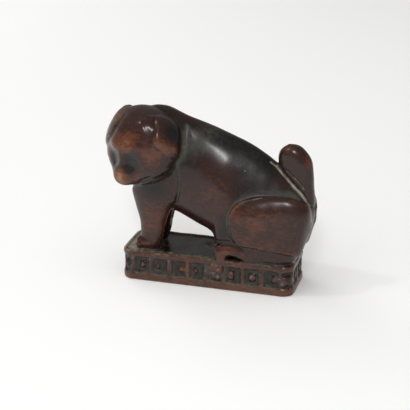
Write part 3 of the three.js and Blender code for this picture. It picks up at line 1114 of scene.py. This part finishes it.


# Old boxwood, stained dark and polished by hands: nearly black in the hollows, warm red-brown where it is
# thin, orange where it is worn through, with grey-green dust in the corners; the same dark is also painted
# as shade on what faces up and where the body and head shade themselves
boxwoodSettings = {
    "deep": "0f0a09",
    "mid": "2b1713",
    "worn": "57301e",
    "bare": "8a664b",
    "dust": "4b473d",
    "chalk": "8c887a",
    # what makes a place worn, dark, dusty or chalky: the carving's layers and the wood's own texture
    "wornBy": {"wear": 1, "fine": 4, "broad": 1, "cloud": 0.8, "ring": 0.05, "fibre": 1.3},
    # the stain layer darkens both real stain and painted shade
    "darkBy": {"stainAndShade": 1, "fine": -10, "broad": -2},
    "dustyBy": {"dust": 1, "fine": -6, "broad": -1.2, "speck": 0.8},
    "chalkyBy": {"dust": 1, "speck": 2},
    # where each of these begins and is complete
    "wornFrom": (0.05, 0.75),
    "bareFrom": (0.7, 1.5),
    "darkFrom": (0.05, 0.9),
    "dustyFrom": (0.1, 1.2),
    "chalkyFrom": (0.8, 1.9),
    "mostDust": 0.75,
    "ring": 0.5,  # mm between growth rings
    "ringWarp": 4.0,  # mm
    "roughness": 0.27,
    "roughDust": 0.5,
    "roughCloud": 0.1,
    "refraction": 1.38,
    "wax": 0.22,
    "waxRoughness": 0.17,
    "waxLostToDust": 1.3,
    "grainHeight": 0.06,  # mm
}


# The textures of the wood, each about 0 on average
def woodTextures(tree):
    coords = addNode(tree, "ShaderNodeTexCoord").outputs["Object"]

    def noise(scale, detail, roughness=0.5, vector=coords):
        settings = {"Scale": scale, "Detail": detail, "Roughness": roughness}
        value = addNode(tree, "ShaderNodeTexNoise", Vector=vector, **settings).outputs["Fac"]
        return maths(tree, "SUBTRACT", value, 0.5)

    alongX = addNode(tree, "ShaderNodeMapping", Vector=coords, Scale=(0.35, 1, 1)).outputs[0]
    # growth rings lie in sheets across y, a little warped
    y = addNode(tree, "ShaderNodeSeparateXYZ", Vector=coords).outputs["Y"]
    warp = maths(tree, "MULTIPLY", noise(90.0, 1.0), boxwoodSettings["ringWarp"] * mm)
    perRing = 2 * math.pi / (boxwoodSettings["ring"] * mm)
    phase = maths(tree, "MULTIPLY", maths(tree, "ADD", y, warp), perRing)
    return {
        "cloud": noise(200.0, 6.0, 0.6),
        "speck": noise(1500.0, 3.0, 0.6),
        "fibre": noise(2200.0, 3.0, 0.7, alongX),
        "ring": maths(tree, "SINE", phase),
    }


def boxwood():
    values = boxwoodSettings
    material, tree, shader = newMaterial("stainedBoxwood")
    plus, minus, times = (partial(maths, tree, name) for name in ("ADD", "SUBTRACT", "MULTIPLY"))
    parts = woodTextures(tree)
    for name in ("wear", "stainAndShade", "dust", "fine", "broad"):
        parts[name] = addNode(tree, "ShaderNodeAttribute", attribute_name=name).outputs["Fac"]

    # how far a place is worn, dark, dusty or chalky, from 0 to 1
    def state(name):
        amount = 0.0
        for part, share in values[name + "By"].items():
            amount = plus(amount, times(parts[part], share))
        return amount

    worn = state("worn")
    dusty = times(smoothStep(tree, state("dusty"), *values["dustyFrom"]), values["mostDust"])
    colour = linear(values["mid"])
    for share, shade in (
        (smoothStep(tree, worn, *values["wornFrom"]), "worn"),
        (smoothStep(tree, worn, *values["bareFrom"]), "bare"),
        (smoothStep(tree, state("dark"), *values["darkFrom"]), "deep"),
        (dusty, "dust"),
        (smoothStep(tree, state("chalky"), *values["chalkyFrom"]), "chalk"),
    ):
        colour = blend(tree, share, colour, linear(values[shade]))
    rough = plus(times(dusty, values["roughDust"]), values["roughness"])
    rough = plus(rough, times(parts["cloud"], values["roughCloud"]), clamp=True)
    waxLeft = minus(1.0, times(dusty, values["waxLostToDust"]), clamp=True)
    grain = plus(parts["cloud"], times(parts["speck"], 0.5))
    height = {"Height": grain, "Distance": values["grainHeight"] * mm}
    inputs = {
        "Base Color": colour,
        "Roughness": rough,
        "IOR": values["refraction"],
        "Coat Weight": times(waxLeft, values["wax"]),
        "Coat Roughness": values["waxRoughness"],
        "Normal": addNode(tree, "ShaderNodeBump", Strength=0.35, **height).outputs[0],
    }
    for name, value in inputs.items():
        plug(tree, shader.inputs[name], value)
    return material


puppy.data.materials.clear()
puppy.data.materials.append(boxwood())
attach(puppy, "root")
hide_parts("puppy_netsuke")

floorSettings = {"size": 3.0, "colour": "f7f7f6", "roughness": 0.9}


def makeFloor():
    mesh = bmesh.new()
    bmesh.ops.create_grid(mesh, x_segments=1, y_segments=1, size=floorSettings["size"] / 2)
    data = bpy.data.meshes.new("floor")
    mesh.to_mesh(data)
    mesh.free()
    floor = bpy.data.objects.new("floor", data)
    bpy.context.collection.objects.link(floor)
    material, _, shader = newMaterial("whitePaper")
    shader.inputs["Base Color"].default_value = linear(floorSettings["colour"])
    shader.inputs["Roughness"].default_value = floorSettings["roughness"]
    data.materials.append(material)


# Area lights: sizes in metres, power in watts; "mirrored" says whether the wood mirrors the light
lights = {
    # the highlights of flank, haunch and tail all lie on one slanting strip of sky
    "window": {
        "from": (0.14, -0.79, 0.595), "distance": 0.7, "size": (0.18, 0.05), "power": 1.35, "roll": -56,
    },
    # a small one high on the left, for the bright spots of brow and crown
    "lamp": {"from": (-0.5, -0.24, 0.83), "distance": 0.7, "size": (0.04, 0.04), "power": 0.4},
    # the two broad ones light the floor and the wood alike, without a mirrored edge of their own
    "left": {
        "from": (-0.2, -0.6, 1.0), "distance": 0.6, "size": (1.2, 1.2), "power": 4.4, "mirrored": False,
    },
    "behind left": {
        "from": (-0.6, 0.2, 0.7), "distance": 0.35, "size": (0.25, 0.25), "power": 0.4, "mirrored": False,
        "target": (-0.08, 0.18, 0),
    },
}
roomSettings = {"colour": (0.93, 0.92, 0.9, 1), "strength": 0.32}


def areaLight(name, values):
    data = bpy.data.lights.new(name, "AREA")
    data.shape = "RECTANGLE"
    data.size, data.size_y = values["size"]
    data.energy = values["power"]
    light = bpy.data.objects.new(name, data)
    away = Vector(values["from"]).normalized()
    target = Vector(values.get("target", (0, 0, 0.015)))
    place = Matrix.Translation(target + away * values["distance"])
    faced = away.to_track_quat("Z", "Y").to_matrix().to_4x4()
    roll = math.radians(values.get("roll", 0))
    light.matrix_world = place @ faced @ Matrix.Rotation(roll, 4, "Z")
    light.visible_glossy = values.get("mirrored", True)
    bpy.context.collection.objects.link(light)


def lightRoom():
    world = bpy.data.worlds.new("room")
    world.use_nodes = True
    background = world.node_tree.nodes["Background"].inputs
    background["Color"].default_value = roomSettings["colour"]
    background["Strength"].default_value = roomSettings["strength"]
    bpy.context.scene.world = world
    bpy.context.scene.view_settings.view_transform = "Standard"


makeFloor()
for name, values in lights.items():
    areaLight(name, values)
lightRoom()
print("stage set")
